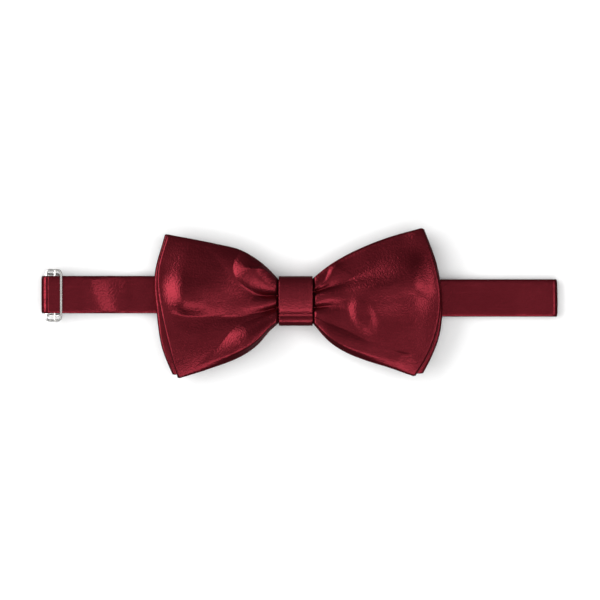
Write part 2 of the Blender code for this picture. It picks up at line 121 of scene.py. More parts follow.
class Finish:
    """Makes one material: every node comes from node(), and close() sets the surface."""

    def __init__(self, name):
        self.material = bpy.data.materials.new(name)
        self.material.use_nodes = True
        self.tree = self.material.node_tree
        self.tree.nodes.clear()

    def node(self, kind, settings=None, inputs=None, output=0):
        """A node of that type: its settings first, then the values or links of its sockets."""
        made = self.tree.nodes.new(kind)
        for name, setting in (settings or {}).items():
            setattr(made, name, setting)
        for name, value in (inputs or {}).items():
            socket = made.inputs[name]
            if isinstance(value, Value):
                self.tree.links.new(value.socket, socket)
            else:
                socket.default_value = value
        return Value(self, made.outputs[output]) if len(made.outputs) else None

    def mix(self, share, first, second):
        """A colour that goes from first to second as share goes from 0 to 1."""
        colours = [c if isinstance(c, Value) else (*c, 1.0) for c in (first, second)]
        inputs = {0: share, 6: colours[0], 7: colours[1]}
        return self.node("ShaderNodeMix", {"data_type": "RGBA"}, inputs, output=2)

    def place(self, kind="Object"):
        """Object coordinates, or the piece's own UV map in metres along and across the cloth."""
        return self.node("ShaderNodeTexCoord", output={"Object": 3, "UV": 2}[kind])

    def wave(self, vector, direction, scale, distortion):
        """Even bands, a little wavy, across that direction."""
        settings = {"bands_direction": direction}
        inputs = {"Vector": vector, "Scale": scale, "Distortion": distortion}
        return self.node("ShaderNodeTexWave", settings, inputs)

    def stretched(self, vector, scale):
        return self.node("ShaderNodeMapping", None, {"Vector": vector, "Scale": scale})

    def noise(self, vector, scale, detail=2.0, roughness=0.5):
        inputs = {"Vector": vector, "Scale": scale, "Detail": detail, "Roughness": roughness}
        return self.node("ShaderNodeTexNoise", None, inputs)

    def bump(self, height, strength, distance):
        inputs = {"Height": height, "Strength": strength, "Distance": distance}
        return self.node("ShaderNodeBump", None, inputs)

    def close(self, **sockets):
        """A Principled surface with those sockets; a name's underscores are spaces."""
        inputs = {name.replace("_", " "): value for name, value in sockets.items()}
        surface = self.node("ShaderNodeBsdfPrincipled", None, inputs)
        self.node("ShaderNodeOutputMaterial", None, {"Surface": surface})
        return self.material


# %% [markdown]
# ## Satin
# Satin is woven so that long warp threads float over several weft threads. The floats lie side by
# side like brushed fibres, so the light they throw back is the thread's own colour and is bright
# only where the cloth leans towards a lamp. That is much more like a tinted metal than like paint,
# so most of the surface is a metallic lobe of the dye's colour over a little diffuse cloth.
# The weave itself is far finer than the folds: it comes from noise that is stretched along the
# warp, in the piece's own UV map, which is in metres and follows the cloth round every fold.

# %% Satin finish
THREADS_PER_METRE = 5200.0


def satin(name, dye, shade, rough=0.32, metallic=0.95):
    """Satin of that dye: colour and roughness vary with the threads, and the threads are a bump."""
    finish = Finish(name)
    cloth = finish.place("UV")
    threads = finish.noise(finish.stretched(cloth, (340.0, THREADS_PER_METRE, 1.0)), 1.0, 2.0)
    weft = finish.noise(finish.stretched(cloth, (2600.0, 420.0, 1.0)), 1.0, 1.0)
    slubs = finish.noise(finish.stretched(cloth, (60.0, 900.0, 1.0)), 1.0, 2.0)
    cloud = finish.noise(finish.place(), 90.0, 3.0)
    tone = finish.mix(cloud.between(0.35, 0.65), shade, dye)
    tone = finish.mix(threads.between(0.3, 0.7) * 0.28, tone, [c * 0.55 for c in dye])
    tone = finish.mix(slubs.between(0.55, 0.8) * 0.22, tone, [min(1.0, c * 1.5) for c in dye])
    crinkle = finish.noise(finish.place(), 1400.0, 1.0, 0.5)
    height = threads * 0.06 + weft * 0.03 + slubs * 0.1 + crinkle * 0.9
    roughness = threads * 0.10 + slubs * 0.06 + (rough - 0.08)
    return finish.close(
        Base_Color=tone,
        Roughness=roughness,
        Metallic=metallic,
        Specular_IOR_Level=0.0,
        Sheen_Weight=0.04,
        Sheen_Roughness=0.4,
        Sheen_Tint=(1.0, 0.16, 0.22, 1.0),
        Normal=finish.bump(height, 0.50, 0.00025),
    )


BOW_SATIN = satin("bow_satin", (0.195, 0.0180, 0.0275), (0.165, 0.0145, 0.0225))
# The knot is the same satin as the bows, but its dye and shade are set about a sixth lighter: painted
# light that brightens the knot.
KNOT_SATIN_PAINTED_LIGHTER = satin("knot_satin", (0.225, 0.0215, 0.0325), (0.200, 0.0185, 0.0285), rough=0.32)
BAND_SATIN = satin("band_satin", (0.195, 0.0180, 0.0275), (0.170, 0.0150, 0.0235), rough=0.31)

# %% [markdown]
# ## Interlining, thread and nickel
# The interlining is a plain matt weave, so its two sets of threads are two waves at right angles.
# Sewing thread is twisted, which a slanting wave gives. Nickel plate is smooth and slightly warm,
# with fine polishing lines and a few dull patches where fingers and cloth have rubbed it.

# %% Other finishes


def interlining_finish():
    finish = Finish("interlining")
    where = finish.place()
    warp = finish.wave(where, "X", 420.0, 1.2)
    weft = finish.wave(where, "Y", 420.0, 1.2)
    fuzz = finish.noise(where, 1500.0, 3.0)
    weave = warp * 0.5 + weft * 0.5
    tone = finish.mix(weave * 0.5 + fuzz * 0.5, (0.52, 0.48, 0.42), (0.74, 0.71, 0.65))
    return finish.close(
        Base_Color=tone,
        Roughness=fuzz * 0.15 + 0.8,
        Normal=finish.bump(weave + fuzz * 0.4, 0.5, 0.0001),
    )


def thread_finish():
    finish = Finish("sewing_thread")
    where = finish.place()
    twist = finish.wave(where, "DIAGONAL", 900.0, 0.6)
    tone = finish.mix(twist, (0.09, 0.008, 0.014), (0.20, 0.020, 0.032))
    return finish.close(
        Base_Color=tone,
        Roughness=twist * 0.15 + 0.5,
        Normal=finish.bump(twist, 0.5, 0.00005),
    )


def nickel_finish():
    finish = Finish("nickel")
    where = finish.place()
    lines = finish.noise(finish.stretched(where, (2500.0, 180.0, 2500.0)), 1.0, 2.0)
    rubbed = finish.noise(where, 260.0, 3.0)
    tone = finish.mix(rubbed.between(0.4, 0.7), (0.86, 0.86, 0.84), (0.72, 0.71, 0.68))
    return finish.close(
        Base_Color=tone,
        Metallic=0.75,
        Roughness=rubbed.between(0.45, 0.75) * 0.16 + lines * 0.08 + 0.14,
        Normal=finish.bump(lines, 0.15, 0.00003),
    )


INTERLINING = interlining_finish()
THREAD = thread_finish()
NICKEL = nickel_finish()
FINISHES = (BOW_SATIN, KNOT_SATIN_PAINTED_LIGHTER, BAND_SATIN, INTERLINING, THREAD, NICKEL)
print("materials", sorted(made.name for made in FINISHES))

# %% [markdown]
# ## Surfaces from arrays
# Every new piece is a grid of points, worked out for the whole piece at once. One helper turns a
# grid into a mesh: it can close the grid on itself either way, and it stores the UV map that the
# weave follows. Another gives a sheet its real thickness with rounded, folded hems.

# %% Grids to meshes


def smooth(t):
    """3t^2 - 2t^3 between 0 and 1, and flat outside."""
    t = np.clip(t, 0.0, 1.0)
    return t * t * (3.0 - 2.0 * t)


def unit(vectors):
    """Each vector divided by its length."""
    return vectors / np.maximum(np.linalg.norm(vectors, axis=-1, keepdims=True), 1e-12)


def grid_mesh(name, points, uv, closed_rows=False, closed_columns=False, caps=False):
    """A mesh whose quad (r, c) joins points (r, c), (r, c+1), (r+1, c+1) and (r+1, c).
    uv has one more row or column than points where the grid closes on itself."""
    rows, columns = points.shape[:2]
    r, c = np.meshgrid(
        np.arange(rows if closed_rows else rows - 1),
        np.arange(columns if closed_columns else columns - 1),
        indexing="ij",
    )
    corner_rows = np.stack([r, r, r + 1, r + 1], axis=-1).reshape(-1, 4)
    corner_columns = np.stack([c, c + 1, c + 1, c], axis=-1).reshape(-1, 4)
    quads = (corner_rows % rows) * columns + corner_columns % columns
    faces = quads.tolist()
    if caps:
        faces.append(list(range(columns))[::-1])
        faces.append(list(range((rows - 1) * columns, rows * columns)))
    mesh = bpy.data.meshes.new(name)
    mesh.from_pydata(points.reshape(-1, 3).tolist(), [], faces)
    layer = mesh.uv_layers.new(name="cloth")
    flat = np.zeros((len(mesh.loops), 2), np.float32)
    flat[: quads.size] = uv[corner_rows, corner_columns].reshape(-1, 2)
    layer.data.foreach_set("uv", flat.ravel())
    mesh.polygons.foreach_set("use_smooth", np.ones(len(mesh.polygons), bool))
    mesh.update()
    return mesh


def turn_outwards(mesh):
    """Flips a closed mesh whose faces point inwards: its signed volume is then negative."""
    mesh.calc_loop_triangles()
    triangles = np.zeros(len(mesh.loop_triangles) * 3, np.int32)
    mesh.loop_triangles.foreach_get("vertices", triangles)
    points = np.zeros(len(mesh.vertices) * 3)
    mesh.vertices.foreach_get("co", points)
    a, b, c = points.reshape(-1, 3)[triangles.reshape(-1, 3)].transpose(1, 0, 2)
    if (a * np.cross(b, c)).sum() < 0:
        mesh.flip_normals()


def put(name, mesh, finish, body, slot, *nodes):
    """The mesh as a piece that rides on a body and stands for those CAD nodes."""
    mesh.materials.append(finish)
    made = bpy.data.objects.new(name, mesh)
    bpy.context.scene.collection.objects.link(made)
    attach(made, body)
    if nodes:
        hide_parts(*nodes)
    print(name, "faces", len(mesh.polygons), "on", body)
    return made


HEM_POINTS = 5


def hemmed(name, outer, thickness, flat_uv):
    """A sheet of that thickness under a grid of its outer points, with half-round hems.
    Row points, in order: the outer side; a half circle of radius t/2 round the last hem; the
    inner side, which is outer - t * normal, backwards; and a half circle round the first hem."""
    along = np.gradient(outer, axis=0)
    across = np.gradient(outer, axis=1)
    normal = unit(np.cross(across, along))
    side = unit(across)
    inner = outer - normal * thickness
    angle = np.linspace(0, math.pi, HEM_POINTS + 2)[1:-1][None, :, None]
    radius = thickness / 2

    def hem(column, sign):
        middle = outer[:, column, None] - normal[:, column, None] * radius
        return (
            middle
            + normal[:, column, None] * radius * np.cos(angle)
            + sign * side[:, column, None] * radius * np.sin(angle)
        )

    ring = np.concatenate([outer, hem(-1, 1), inner[:, ::-1], hem(0, -1)[:, ::-1]], axis=1)
    u, v = flat_uv
    step = thickness / (HEM_POINTS + 1)
    hem_v = np.arange(1, HEM_POINTS + 1) * step
    profile = np.concatenate([v, v[-1] + hem_v, v[::-1] + 0.1, v[0] + 0.1 - hem_v, v[:1] + 0.2])
    uv = np.stack(np.meshgrid(u, profile, indexing="ij"), axis=-1)
    mesh = grid_mesh(name, ring, uv, closed_columns=True, caps=True)
    turn_outwards(mesh)
    return mesh


def curve_through(points, x):
    """y at x on a smooth line through the points: cubic Hermite pieces between neighbours, with
    each point's slope the mean of the slopes on its two sides."""
    px, py = (np.array(values, float) for values in zip(*points))
    slope = np.diff(py) / np.diff(px)
    tangent = np.concatenate([slope[:1], (slope[1:] + slope[:-1]) / 2, slope[-1:]])
    i = np.clip(np.searchsorted(px, x) - 1, 0, len(px) - 2)
    width = px[i + 1] - px[i]
    t = np.clip((x - px[i]) / width, -0.2, 1.2)
    return (
        py[i] * (1 + 2 * t) * (1 - t) ** 2
        + tangent[i] * width * t * (1 - t) ** 2
        + py[i + 1] * t * t * (3 - 2 * t)
        + tangent[i + 1] * width * t * t * (t - 1)
    )


# %% [markdown]
# ## The outline of the wings
# Each hem and each folded end is a smooth line through a few points, in millimetres. The hems
# burst out from the knot and then run nearly straight to the corners, and the folded ends bow
# outwards. The rear bow is a little wider, so its edge shows past the front one at the ends.

# %% Outlines
KNOT_X = float(KNOT_LOW[0] + KNOT_HIGH[0]) / 2
KNOT_Y = float(KNOT_LOW[1] + KNOT_HIGH[1]) / 2
KNOT_SIDE = float(KNOT_HIGH[0] - KNOT_LOW[0]) / 2
WAIST_HALF_HEIGHT = 8.0 * MM

LEFT, RIGHT = -1, 1
TOP_HEM = {
    LEFT: [(-8.9, 9.7), (-12.7, 13.6), (-17.3, 17.4), (-24.8, 21.7), (-35.2, 24.3), (-55.4, 28.2)],
    RIGHT: [(5.7, 10.2), (12.3, 15.2), (19.4, 19.4), (28.5, 23.6), (37.7, 27.0), (51.6, 30.9)],
}
LOW_HEM = {
    LEFT: [
        (-8.9, -8.3), (-12.7, -11.5), (-17.3, -16.7),
        (-24.0, -21.5), (-39.8, -27.6), (-50.8, -31.0),
    ],
    RIGHT: [(5.7, -8.4), (12.3, -15.5), (19.4, -20.1), (28.5, -23.7), (37.7, -26.5), (48.4, -30.2)],
}
FRONT_END = {
    LEFT: [(-31.0, -50.8), (-21.3, -53.6), (-4.6, -57.6), (7.5, -59.4), (14.2, -59.2), (28.2, -55.4)],
    RIGHT: [(-30.2, 48.4), (-21.7, 53.4), (-10.0, 57.6), (3.0, 58.9), (16.0, 56.6), (30.9, 51.6)],
}
REAR_END = {
    LEFT: [(-29.7, -53.0), (-22.1, -56.2), (-16.7, -57.8), (-4.6, -59.5), (11.0, -60.5), (28.4, -56.2)],
    RIGHT: [(-29.2, 51.6), (-21.7, 55.4), (-13.5, 58.3), (-1.0, 59.5), (15.8, 57.3), (30.7, 52.0)],
}


def line_in_metres(points):
    return sorted((a * MM, b * MM) for a, b in points)


# %% [markdown]
# ## The relief of the folds
# The gathers at the knot throw folds into the faces of the front bow. Two shapes make them all.
# A shoulder is a fold's rounded side: level on one side of a line, risen on the other, and dying
# away further on. A crease is a line that the cloth is drawn down to, sharp at the knot and soft
# further out. Each follows a smooth line, in millimetres on the face, so it is easy to move.

# %% Shoulders and creases


def smooth_line(points, shares=np.linspace(0, 1, 40)):
    """Points on a Catmull-Rom curve: (2b + (c-a)t + (2a-5b+4c-d)t^2 + (3b-a-3c+d)t^3) / 2."""
    p = np.array(points, float)
    p = np.concatenate([2 * p[:1] - p[1:2], p, 2 * p[-1:] - p[-2:-1]])
    at = np.clip(shares, 0, 1 - 1e-9) * (len(p) - 3)
    i = at.astype(int)
    t = (at - i)[:, None]
    a, b, c, d = p[i], p[i + 1], p[i + 2], p[i + 3]
    square, cube = 2 * a - 5 * b + 4 * c - d, 3 * b - a - 3 * c + d
    return (2 * b + (c - a) * t + square * t**2 + cube * t**3) / 2


def beside(x, y, points):
    """Distance from a line, positive on its left, and the share of the way along it."""
    path = smooth_line(points)
    far = np.full(x.shape, np.inf)
    share = np.zeros(x.shape)
    side = np.ones(x.shape)
    for number, (a, b) in enumerate(zip(path[:-1], path[1:])):
        step = b - a
        long = np.hypot(*step)
        along = ((x - a[0]) * step[0] + (y - a[1]) * step[1]) / long
        along = np.clip(along, 0, long)
        off_x, off_y = x - a[0] - along * step[0] / long, y - a[1] - along * step[1] / long
        distance = np.hypot(off_x, off_y)
        nearer = distance < far
        far = np.where(nearer, distance, far)
        share = np.where(nearer, (number + along / long) / (len(path) - 1), share)
        side = np.where(nearer, np.where(step[0] * off_y - step[1] * off_x < 0, -1.0, 1.0), side)
    return far * side, share


def along_line(share, values):
    """The value at that share of the way, through the values at equal steps along the line."""
    if np.isscalar(values):
        return values
    return np.interp(share, np.linspace(0, 1, len(values)), values)


def shoulder(x, y, points, height, rise, fall, bend=1.35):
    """height(s) * (1 - (1 - d / rise(s))^bend) * exp(-(d / fall(s))^2) left of the line, and 0
    right of it: steepest at the line, and level at a distance of rise(s)."""
    d, s = beside(x, y, points)
    inside = np.clip(d, 0, None)
    up = 1 - (1 - np.clip(inside / along_line(s, rise), 0, 1)) ** bend
    return along_line(s, height) * up * np.exp(-((inside / along_line(s, fall)) ** 2))


def crease(x, y, points, depth, left, right, power=1.3):
    """-depth(s) * exp(-(|d| / w(s))^power), where w is left(s) or right(s) of the line."""
    d, s = beside(x, y, points)
    width = np.where(d > 0, along_line(s, left), along_line(s, right))
    return -along_line(s, depth) * np.exp(-((np.abs(d) / width) ** power))


def mound(x, y, middle, reach, turn, height, power=1.0):
    """height * exp(-(a^2 + b^2)^power): a and b are the distances along and across a direction
    turned by that many degrees, each divided by its reach."""
    angle = math.radians(turn)
    dx, dy = x - middle[0], y - middle[1]
    a = (dx * math.cos(angle) + dy * math.sin(angle)) / reach[0]
    b = (dy * math.cos(angle) - dx * math.sin(angle)) / reach[1]
    return height * np.exp(-((a * a + b * b) ** power))


def left_relief(x, y):
    """The left wing: an upper and a lower roll at the knot, and a long crease between them."""
    z = shoulder(
        x, y,
        [
            (-23.5, 23.0), (-27.0, 18.0), (-27.7, 14.1), (-26.6, 10.5),
            (-23.6, 7.5), (-20.0, 5.2), (-14.7, 3.3), (-8.7, 3.1),
        ],
        (1.0, 2.4, 3.2, 3.3, 2.8, 2.0, 1.2), (5.0, 7.5, 9.0, 9.0, 8.0, 6.0, 4.0), 40.0,
    )
    z += shoulder(
        x, y,
        [
            (-8.7, -2.6), (-13.0, -4.4), (-18.3, -6.4), (-24.2, -8.5),
            (-28.8, -12.0), (-33.0, -17.0), (-38.0, -22.0), (-44.0, -27.0),
        ],
        (1.2, 2.4, 3.7, 4.3, 4.0, 2.6, 1.1, 0.3), (3.5, 6.0, 9.0, 10.5, 10.5, 9.0, 7.0, 5.0), 40.0,
    )
    z += shoulder(
        x, y, [(-61.0, -3.6), (-54.0, -4.6), (-47.0, -5.4), (-40.0, -5.6), (-34.0, -5.5)],
        (1.6, 1.8, 1.5, 0.9, 0.2), (11.0, 10.0, 9.0, 7.0, 5.0), 13.0,
    )
    z += crease(
        x, y,
        [
            (-60.0, -6.6), (-55.5, -4.6), (-51.0, -4.9), (-44.4, -5.8), (-35.5, -5.5),
            (-26.6, -5.8), (-20.6, -4.6), (-14.7, -3.5), (-8.7, -1.8),
        ],
        (1.5, 1.7, 1.5, 1.0, 0.8, 0.8, 1.2, 1.8, 2.4),
        (5.5, 6.0, 6.0, 5.5, 4.5, 3.6, 2.4, 1.4, 0.9),
        (3.6, 4.0, 4.0, 4.0, 3.8, 3.4, 2.4, 1.4, 0.8),
    )
    z += crease(
        x, y, [(-8.7, 3.1), (-14.7, 3.0), (-20.0, 4.2), (-25.5, 7.5), (-30.0, 12.5), (-36.0, 20.0)],
        (2.4, 1.7, 1.0, 0.8, 0.6, 0.3), (0.8, 1.3, 3.0, 4.0, 5.0, 6.0), (0.8, 1.2, 2.0, 2.0, 3.0, 4.0),
    )
    return z


def right_relief(x, y):
    """The right wing: a sharp pleat and two creases at the knot, a small round swelling, a rise
    towards the lower hem, and a soft crease at the folded end."""
    z = shoulder(
        x, y, [(15.0, 19.0), (13.4, 16.8), (12.2, 14.3), (11.3, 11.5), (9.1, 7.7), (6.3, 4.9)],
        (0.3, 0.6, 0.6, 0.5, 0.4), (1.8, 1.9, 1.8, 1.6, 1.2), 9.0,
    )
    z += crease(
        x, y, [(6.0, 4.5), (10.6, 6.2), (15.0, 7.6), (19.5, 9.3), (24.0, 11.5), (30.0, 14.0)],
        (2.2, 2.0, 1.6, 1.2, 0.7, 0.3), (0.9, 1.4, 2.4, 3.5, 5.0, 6.0), (0.9, 1.4, 2.2, 3.0, 4.0, 5.0),
    )
    z += crease(
        x, y, [(6.0, -2.0), (10.9, -1.4), (15.1, -1.0), (18.5, -2.2)],
        (2.0, 1.5, 0.9, 0.3), (0.9, 1.2, 1.6, 2.5), (0.9, 1.3, 2.0, 3.0),
    )
    z += mound(x, y, (26.4, -5.0), (7.4, 4.3), -66, 0.9, 1.9)
    z += shoulder(
        x, y, [(38.0, -19.0), (29.0, -16.0), (21.0, -12.0), (14.0, -9.0), (9.0, -7.0)],
        (0.4, 1.3, 1.8, 1.6, 0.8), (6.0, 7.0, 7.0, 6.0, 4.0), 20.0,
    )
    z += crease(
        x, y, [(59.5, -1.5), (54.0, 1.0), (48.0, 3.0), (40.0, 4.3)], (0.7, 0.6, 0.4, 0.0),
        (5.0, 5.0, 5.0, 5.0), (3.0, 3.0, 3.0, 3.0),
    )
    return z


RELIEF = {LEFT: left_relief, RIGHT: right_relief}

# %% [markdown]
# ## The lie of the faces
# Apart from its folds, each face of the front bow stands proud of the plain loop by a millimetre
# or two. A small net of heights says how much: five stations from the knot to the folded end, and
# nine from the lower hem to the upper one. A smooth surface goes through them all.

# %% The lie of the faces
LIE = {
    LEFT: (
        (1.6, 2.2, 2.4, 2.2, 2.2, 2.3, 2.4, 2.2, 1.6),
        (0.4, 1.2, 1.6, 1.3, 1.5, 1.7, 1.5, 1.0, 0.3),
        (0.4, 1.0, 1.2, 0.9, 1.4, 2.2, 2.0, 1.3, 0.3),
        (0.3, 0.7, 0.7, 0.4, 1.8, 1.9, 1.1, 0.6, 0.2),
        (0.1, 0.2, 0.1, 0.0, 1.7, 1.5, 0.3, 0.1, 0.0),
    ),
    RIGHT: (
        (1.6, 2.2, 2.4, 2.2, 2.2, 2.3, 2.4, 2.0, 1.4),
        (1.3, 1.6, 1.7, 1.7, 1.9, 2.2, 1.0, 0.1, -0.3),
        (0.8, 1.2, 1.3, 1.5, 2.3, 2.7, 0.8, -0.4, -0.6),
        (0.3, 0.4, 0.5, 0.8, 1.8, 2.5, 1.5, -0.4, -0.8),
        (0.0, 0.0, 0.0, 0.1, 1.0, 2.5, 2.0, -0.2, -0.6),
    ),
}


def lie(side, g, v):
    """The net of heights, smooth across the wing first and then along it."""
    across = smooth_line(np.array(LIE[side]).T, (v.ravel() + 1) / 2)
    return smooth_line(across.T, g.ravel())


# %% [markdown]
# ## The bows
# A bow is one strip of satin. It starts at a seam behind the waist, runs out along the back of a
# wing, turns over at the folded end, comes back across the face, goes through the knot and does
# the same on the other side. So its grid has one direction along the strip and one across it.
# No cloth simulation is run. These folds have set places, so the sheet is shaped directly: a
# puffed loop, with the relief added to the front bow's faces. Each bow has a lining of the same
# shape just inside it, kept away from the hems so that it does not show.

# %% The strip of one bow
SEAM_SLIT = 0.6 * MM
WAIST_HALF_THICKNESS = 1.1 * MM
FOLD_PUFF = -0.15 * MM
WING_PUFF = 0.45 * MM
WING_LIFT = 2.3 * MM
CORNER_DROOP = 1.4 * MM
BOW_GAP_WAIST = 0.3 * MM
BOW_GAP_WING = 0.5 * MM
REAR_BOW_BASE = float(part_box("rear_bow_satin")[0][2]) + 0.25 * MM
BOW_PLY = 0.5 * MM
END_FALL = 0.20
KNOT_CLEARANCE = 0.10 * MM
KNOT_GROW_MM = 0.35
RELIEF_GROW_MM = 0.8
HEM_SHARE, HEM_RELIEF = 0.10, 0.3
WAIST_ROWS = 6
FACE_STEPS, FOLD_STEPS, BACK_STEPS, ACROSS = 128, 12, 30, 121


def puff(g, v):
    """Half of a wing's thickness: the waist's, plus fold * smooth(g), plus
    wing * (1 - (1-g)^3) * (1 - 0.55 g^2) * sqrt(1 - v^4)."""
    rise = (1 - (1 - g) ** 3) * (1 - 0.55 * g * g)
    hem = np.sqrt(np.clip(1 - v**4, 0, 1))
    return WAIST_HALF_THICKNESS + FOLD_PUFF * smooth(g) + WING_PUFF * rise * hem


def middle_height(g, v, is_front):
    """Height of a bow's middle: the rear bow rests on the lifted base, the front one on the rear."""
    half = puff(g, v)
    low = REAR_BOW_BASE + WING_LIFT * smooth(g) - CORNER_DROOP * g * g * np.abs(v) ** 3
    if not is_front:
        return low + half
    gap = BOW_GAP_WAIST + (BOW_GAP_WING - BOW_GAP_WAIST) * smooth(g * 4)
    return low + 3 * half + gap


def wing(side, is_front, inside):
    """One wing: rows from the seam out along the back, round the fold, and back along the face.
    x = waist + (end(v) - waist) * g; y lies between the two hems; z = middle -/+ puff. A lining
    lies that far inside, and keeps under the bottoms of the creases."""
    v = np.linspace(-1, 1, ACROSS)[None, :]
    share = (v + 1) / 2
    end_line = line_in_metres((FRONT_END if is_front else REAR_END)[side])
    top_line, low_line = line_in_metres(TOP_HEM[side]), line_in_metres(LOW_HEM[side])
    start = KNOT_X + side * (KNOT_SIDE + KNOT_CLEARANCE)
    end_y = end_line[0][0] + (end_line[-1][0] - end_line[0][0]) * share
    end_x = curve_through(end_line, end_y) - side * inside
    fold = puff(np.ones_like(v), v)

    def body(g):
        x = start + (end_x - side * fold - start) * g
        top_x = start + (end_x[:, -1:] - start) * g
        low_x = start + (end_x[:, :1] - start) * g
        high = curve_through(top_line, top_x) - inside
        low = curve_through(low_line, low_x) + inside
        corner_high, corner_low = end_line[-1][0] - inside, end_line[0][0] + inside
        high = high + (corner_high - high[-1:]) * g**4
        low = low + (corner_low - low[-1:]) * g**4
        return x, low + (high - low) * share

    def sheet(g, way):
        x, y = body(g)
        z = middle_height(g, v, is_front) + way * (puff(g, v) - inside)
        if is_front and way > 0:
            away = np.abs(x - start) / MM
            grow = 1 - np.exp(-away / KNOT_GROW_MM)
            near_fold = smooth((1 - g) / END_FALL)
            at_hem = HEM_RELIEF + (1 - HEM_RELIEF) * smooth((1 - np.abs(v)) / HEM_SHARE)
            proud = grow * near_fold * lie(side, g, v)
            relief = RELIEF[side](x / MM, y / MM)
            proud += smooth(away / RELIEF_GROW_MM) * near_fold * at_hem * relief
            z = z + (np.minimum(proud, 0) * MM - inside / 2 if inside else proud * MM)
        return np.stack([x + 0 * z, y + 0 * z, z], axis=2)

    back = sheet(np.linspace(0, 1, BACK_STEPS)[:, None], -1)
    face = sheet(np.linspace(0, 1, FACE_STEPS)[:, None], 1)
    tie = np.array([KNOT_X + side * SEAM_SLIT / 2, 0, 0])
    into_waist = np.linspace(0, 1, WAIST_ROWS)[:, None, None]
    waist_y = KNOT_Y + v[0] * WAIST_HALF_HEIGHT

    def through_waist(row):
        """Rows from the middle of the knot to the row where the wing begins."""
        middle = np.stack([np.full(ACROSS, tie[0]), waist_y, row[:, 2]], axis=1)
        return middle[None] + (row - middle)[None] * smooth(into_waist)

    low_edge, high_edge = back[-1], face[-1]
    turn = np.linspace(-math.pi / 2, math.pi / 2, FOLD_STEPS + 1)[1:-1, None]
    centre = (low_edge + high_edge) / 2
    radius = (high_edge[:, 2] - low_edge[:, 2]) / 2
    around = np.stack(
        [
            centre[None, :, 0] + side * fold * np.cos(turn),
            centre[None, :, 1] + 0 * turn,
            centre[None, :, 2] + radius * np.sin(turn),
        ],
        axis=2,
    )
    back_rows = np.concatenate([through_waist(back[0])[:-1], back])
    face_rows = np.concatenate([through_waist(face[0])[:-1], face])
    return back_rows, around, face_rows


def bow_grid(is_front, inside=0.0):
    """The whole strip: right back, right fold, right face, left face, left fold, left back."""
    parts = []
    for side in (RIGHT, LEFT):
        back, around, face = wing(side, is_front, inside)
        half = np.concatenate([back, around, face[::-1]])
        parts.append(half if side == RIGHT else half[::-1])
    return np.concatenate(parts)


def cloth_uv(grid, height):
    """Metres along the strip at its middle line, and across it as if it lay flat."""
    middle = grid[:, grid.shape[1] // 2]
    u = np.concatenate([[0.0], np.cumsum(np.linalg.norm(np.diff(middle, axis=0), axis=1))])
    return u, np.linspace(-height / 2, height / 2, grid.shape[1])


# %% Make both bows
STRIP_HEIGHT = 61 * MM
PLY_GAP = 0.1 * MM
LINING_PLY = 0.2 * MM
LINING_EDGE = 14
LINING_HEIGHT = STRIP_HEIGHT * (1 - 2 * LINING_EDGE / (ACROSS - 1))
bows = {}
for name, is_front in (("front_bow", True), ("rear_bow", False)):
    grid = bow_grid(is_front)
    u, v = cloth_uv(grid, STRIP_HEIGHT)
    mesh = hemmed(name + "_cloth", grid, BOW_PLY, (u, v))
    bows[name] = put(name + "_cloth", mesh, BOW_SATIN, "bow", "bow_satin", name + "_satin")
    bows[name + "_length"] = float(u[-1])
    lining = bow_grid(is_front, BOW_PLY + PLY_GAP)[2:-2:2, LINING_EDGE:-LINING_EDGE:2]
    u, v = cloth_uv(lining, LINING_HEIGHT)
    mesh = hemmed(name + "_lining", lining, LINING_PLY, (u, v))
    bows[name + "_lining"] = put(
        name + "_lining", mesh, INTERLINING, "bow", "interlining", name + "_interlining"
    )
    bows[name + "_lining_length"] = float(u[-1])
print("strip length in mm", round(bows["front_bow_length"] / MM), round(bows["rear_bow_length"] / MM))

# %% [markdown]
# ## The knot
# The knot is a strip of satin with both long edges folded in, wrapped once round the waist. Seen
# from the side it is a rounded box: flat on its back, arched on its face. Its folded edges stand
# up a little, and the cloth dips just inside them.

# %% The knot
KNOT_PLY = 0.5 * MM
KNOT_ROWS, KNOT_COLUMNS = 160, 41
KNOT_CORNER = 2.6 * MM
KNOT_SLIT = 0.012
ARCH_HEIGHT, ARCH_Y, ARCH_REACH = 2.0 * MM, 3.0 * MM, 8.5 * MM
DIP_DEPTH, DIP_Y, DIP_REACH = 0.75 * MM, 6.0 * MM, 1.5 * MM
ROLL_HEIGHT, ROLL_DIP = 0.05 * MM, 0.02 * MM


def rounded_box(t, half_wide, half_high, corner):
    """Points of a rounded rectangle at shares t of its round, clockwise from the middle of its
    bottom side: four straight runs and four quarter circles."""
    run_w, run_h, bend = half_wide - corner, half_high - corner, math.pi / 2 * corner
    lengths = [run_w, bend, 2 * run_h, bend, 2 * run_w, bend, 2 * run_h, bend, run_w]
    ends = np.cumsum([0.0] + lengths)
    s = np.clip(t, 0, 1) * ends[-1]
    pieces = [
        lambda d: (d, -half_high + 0 * d),
        lambda d: (run_w + corner * np.sin(d / corner), -run_h - corner * np.cos(d / corner)),
        lambda d: (half_wide + 0 * d, -run_h + d),
        lambda d: (run_w + corner * np.cos(d / corner), run_h + corner * np.sin(d / corner)),
        lambda d: (run_w - d, half_high + 0 * d),
        lambda d: (-run_w - corner * np.sin(d / corner), run_h + corner * np.cos(d / corner)),
        lambda d: (-half_wide + 0 * d, run_h - d),
        lambda d: (-run_w - corner * np.cos(d / corner), -run_h - corner * np.sin(d / corner)),
        lambda d: (-run_w + d, -half_high + 0 * d),
    ]
    y, z = np.zeros_like(s), np.zeros_like(s)
    for i, piece in enumerate(pieces):
        inside = (s >= ends[i]) & (s <= ends[i + 1])
        y[inside], z[inside] = piece(s[inside] - ends[i])
    return y, z


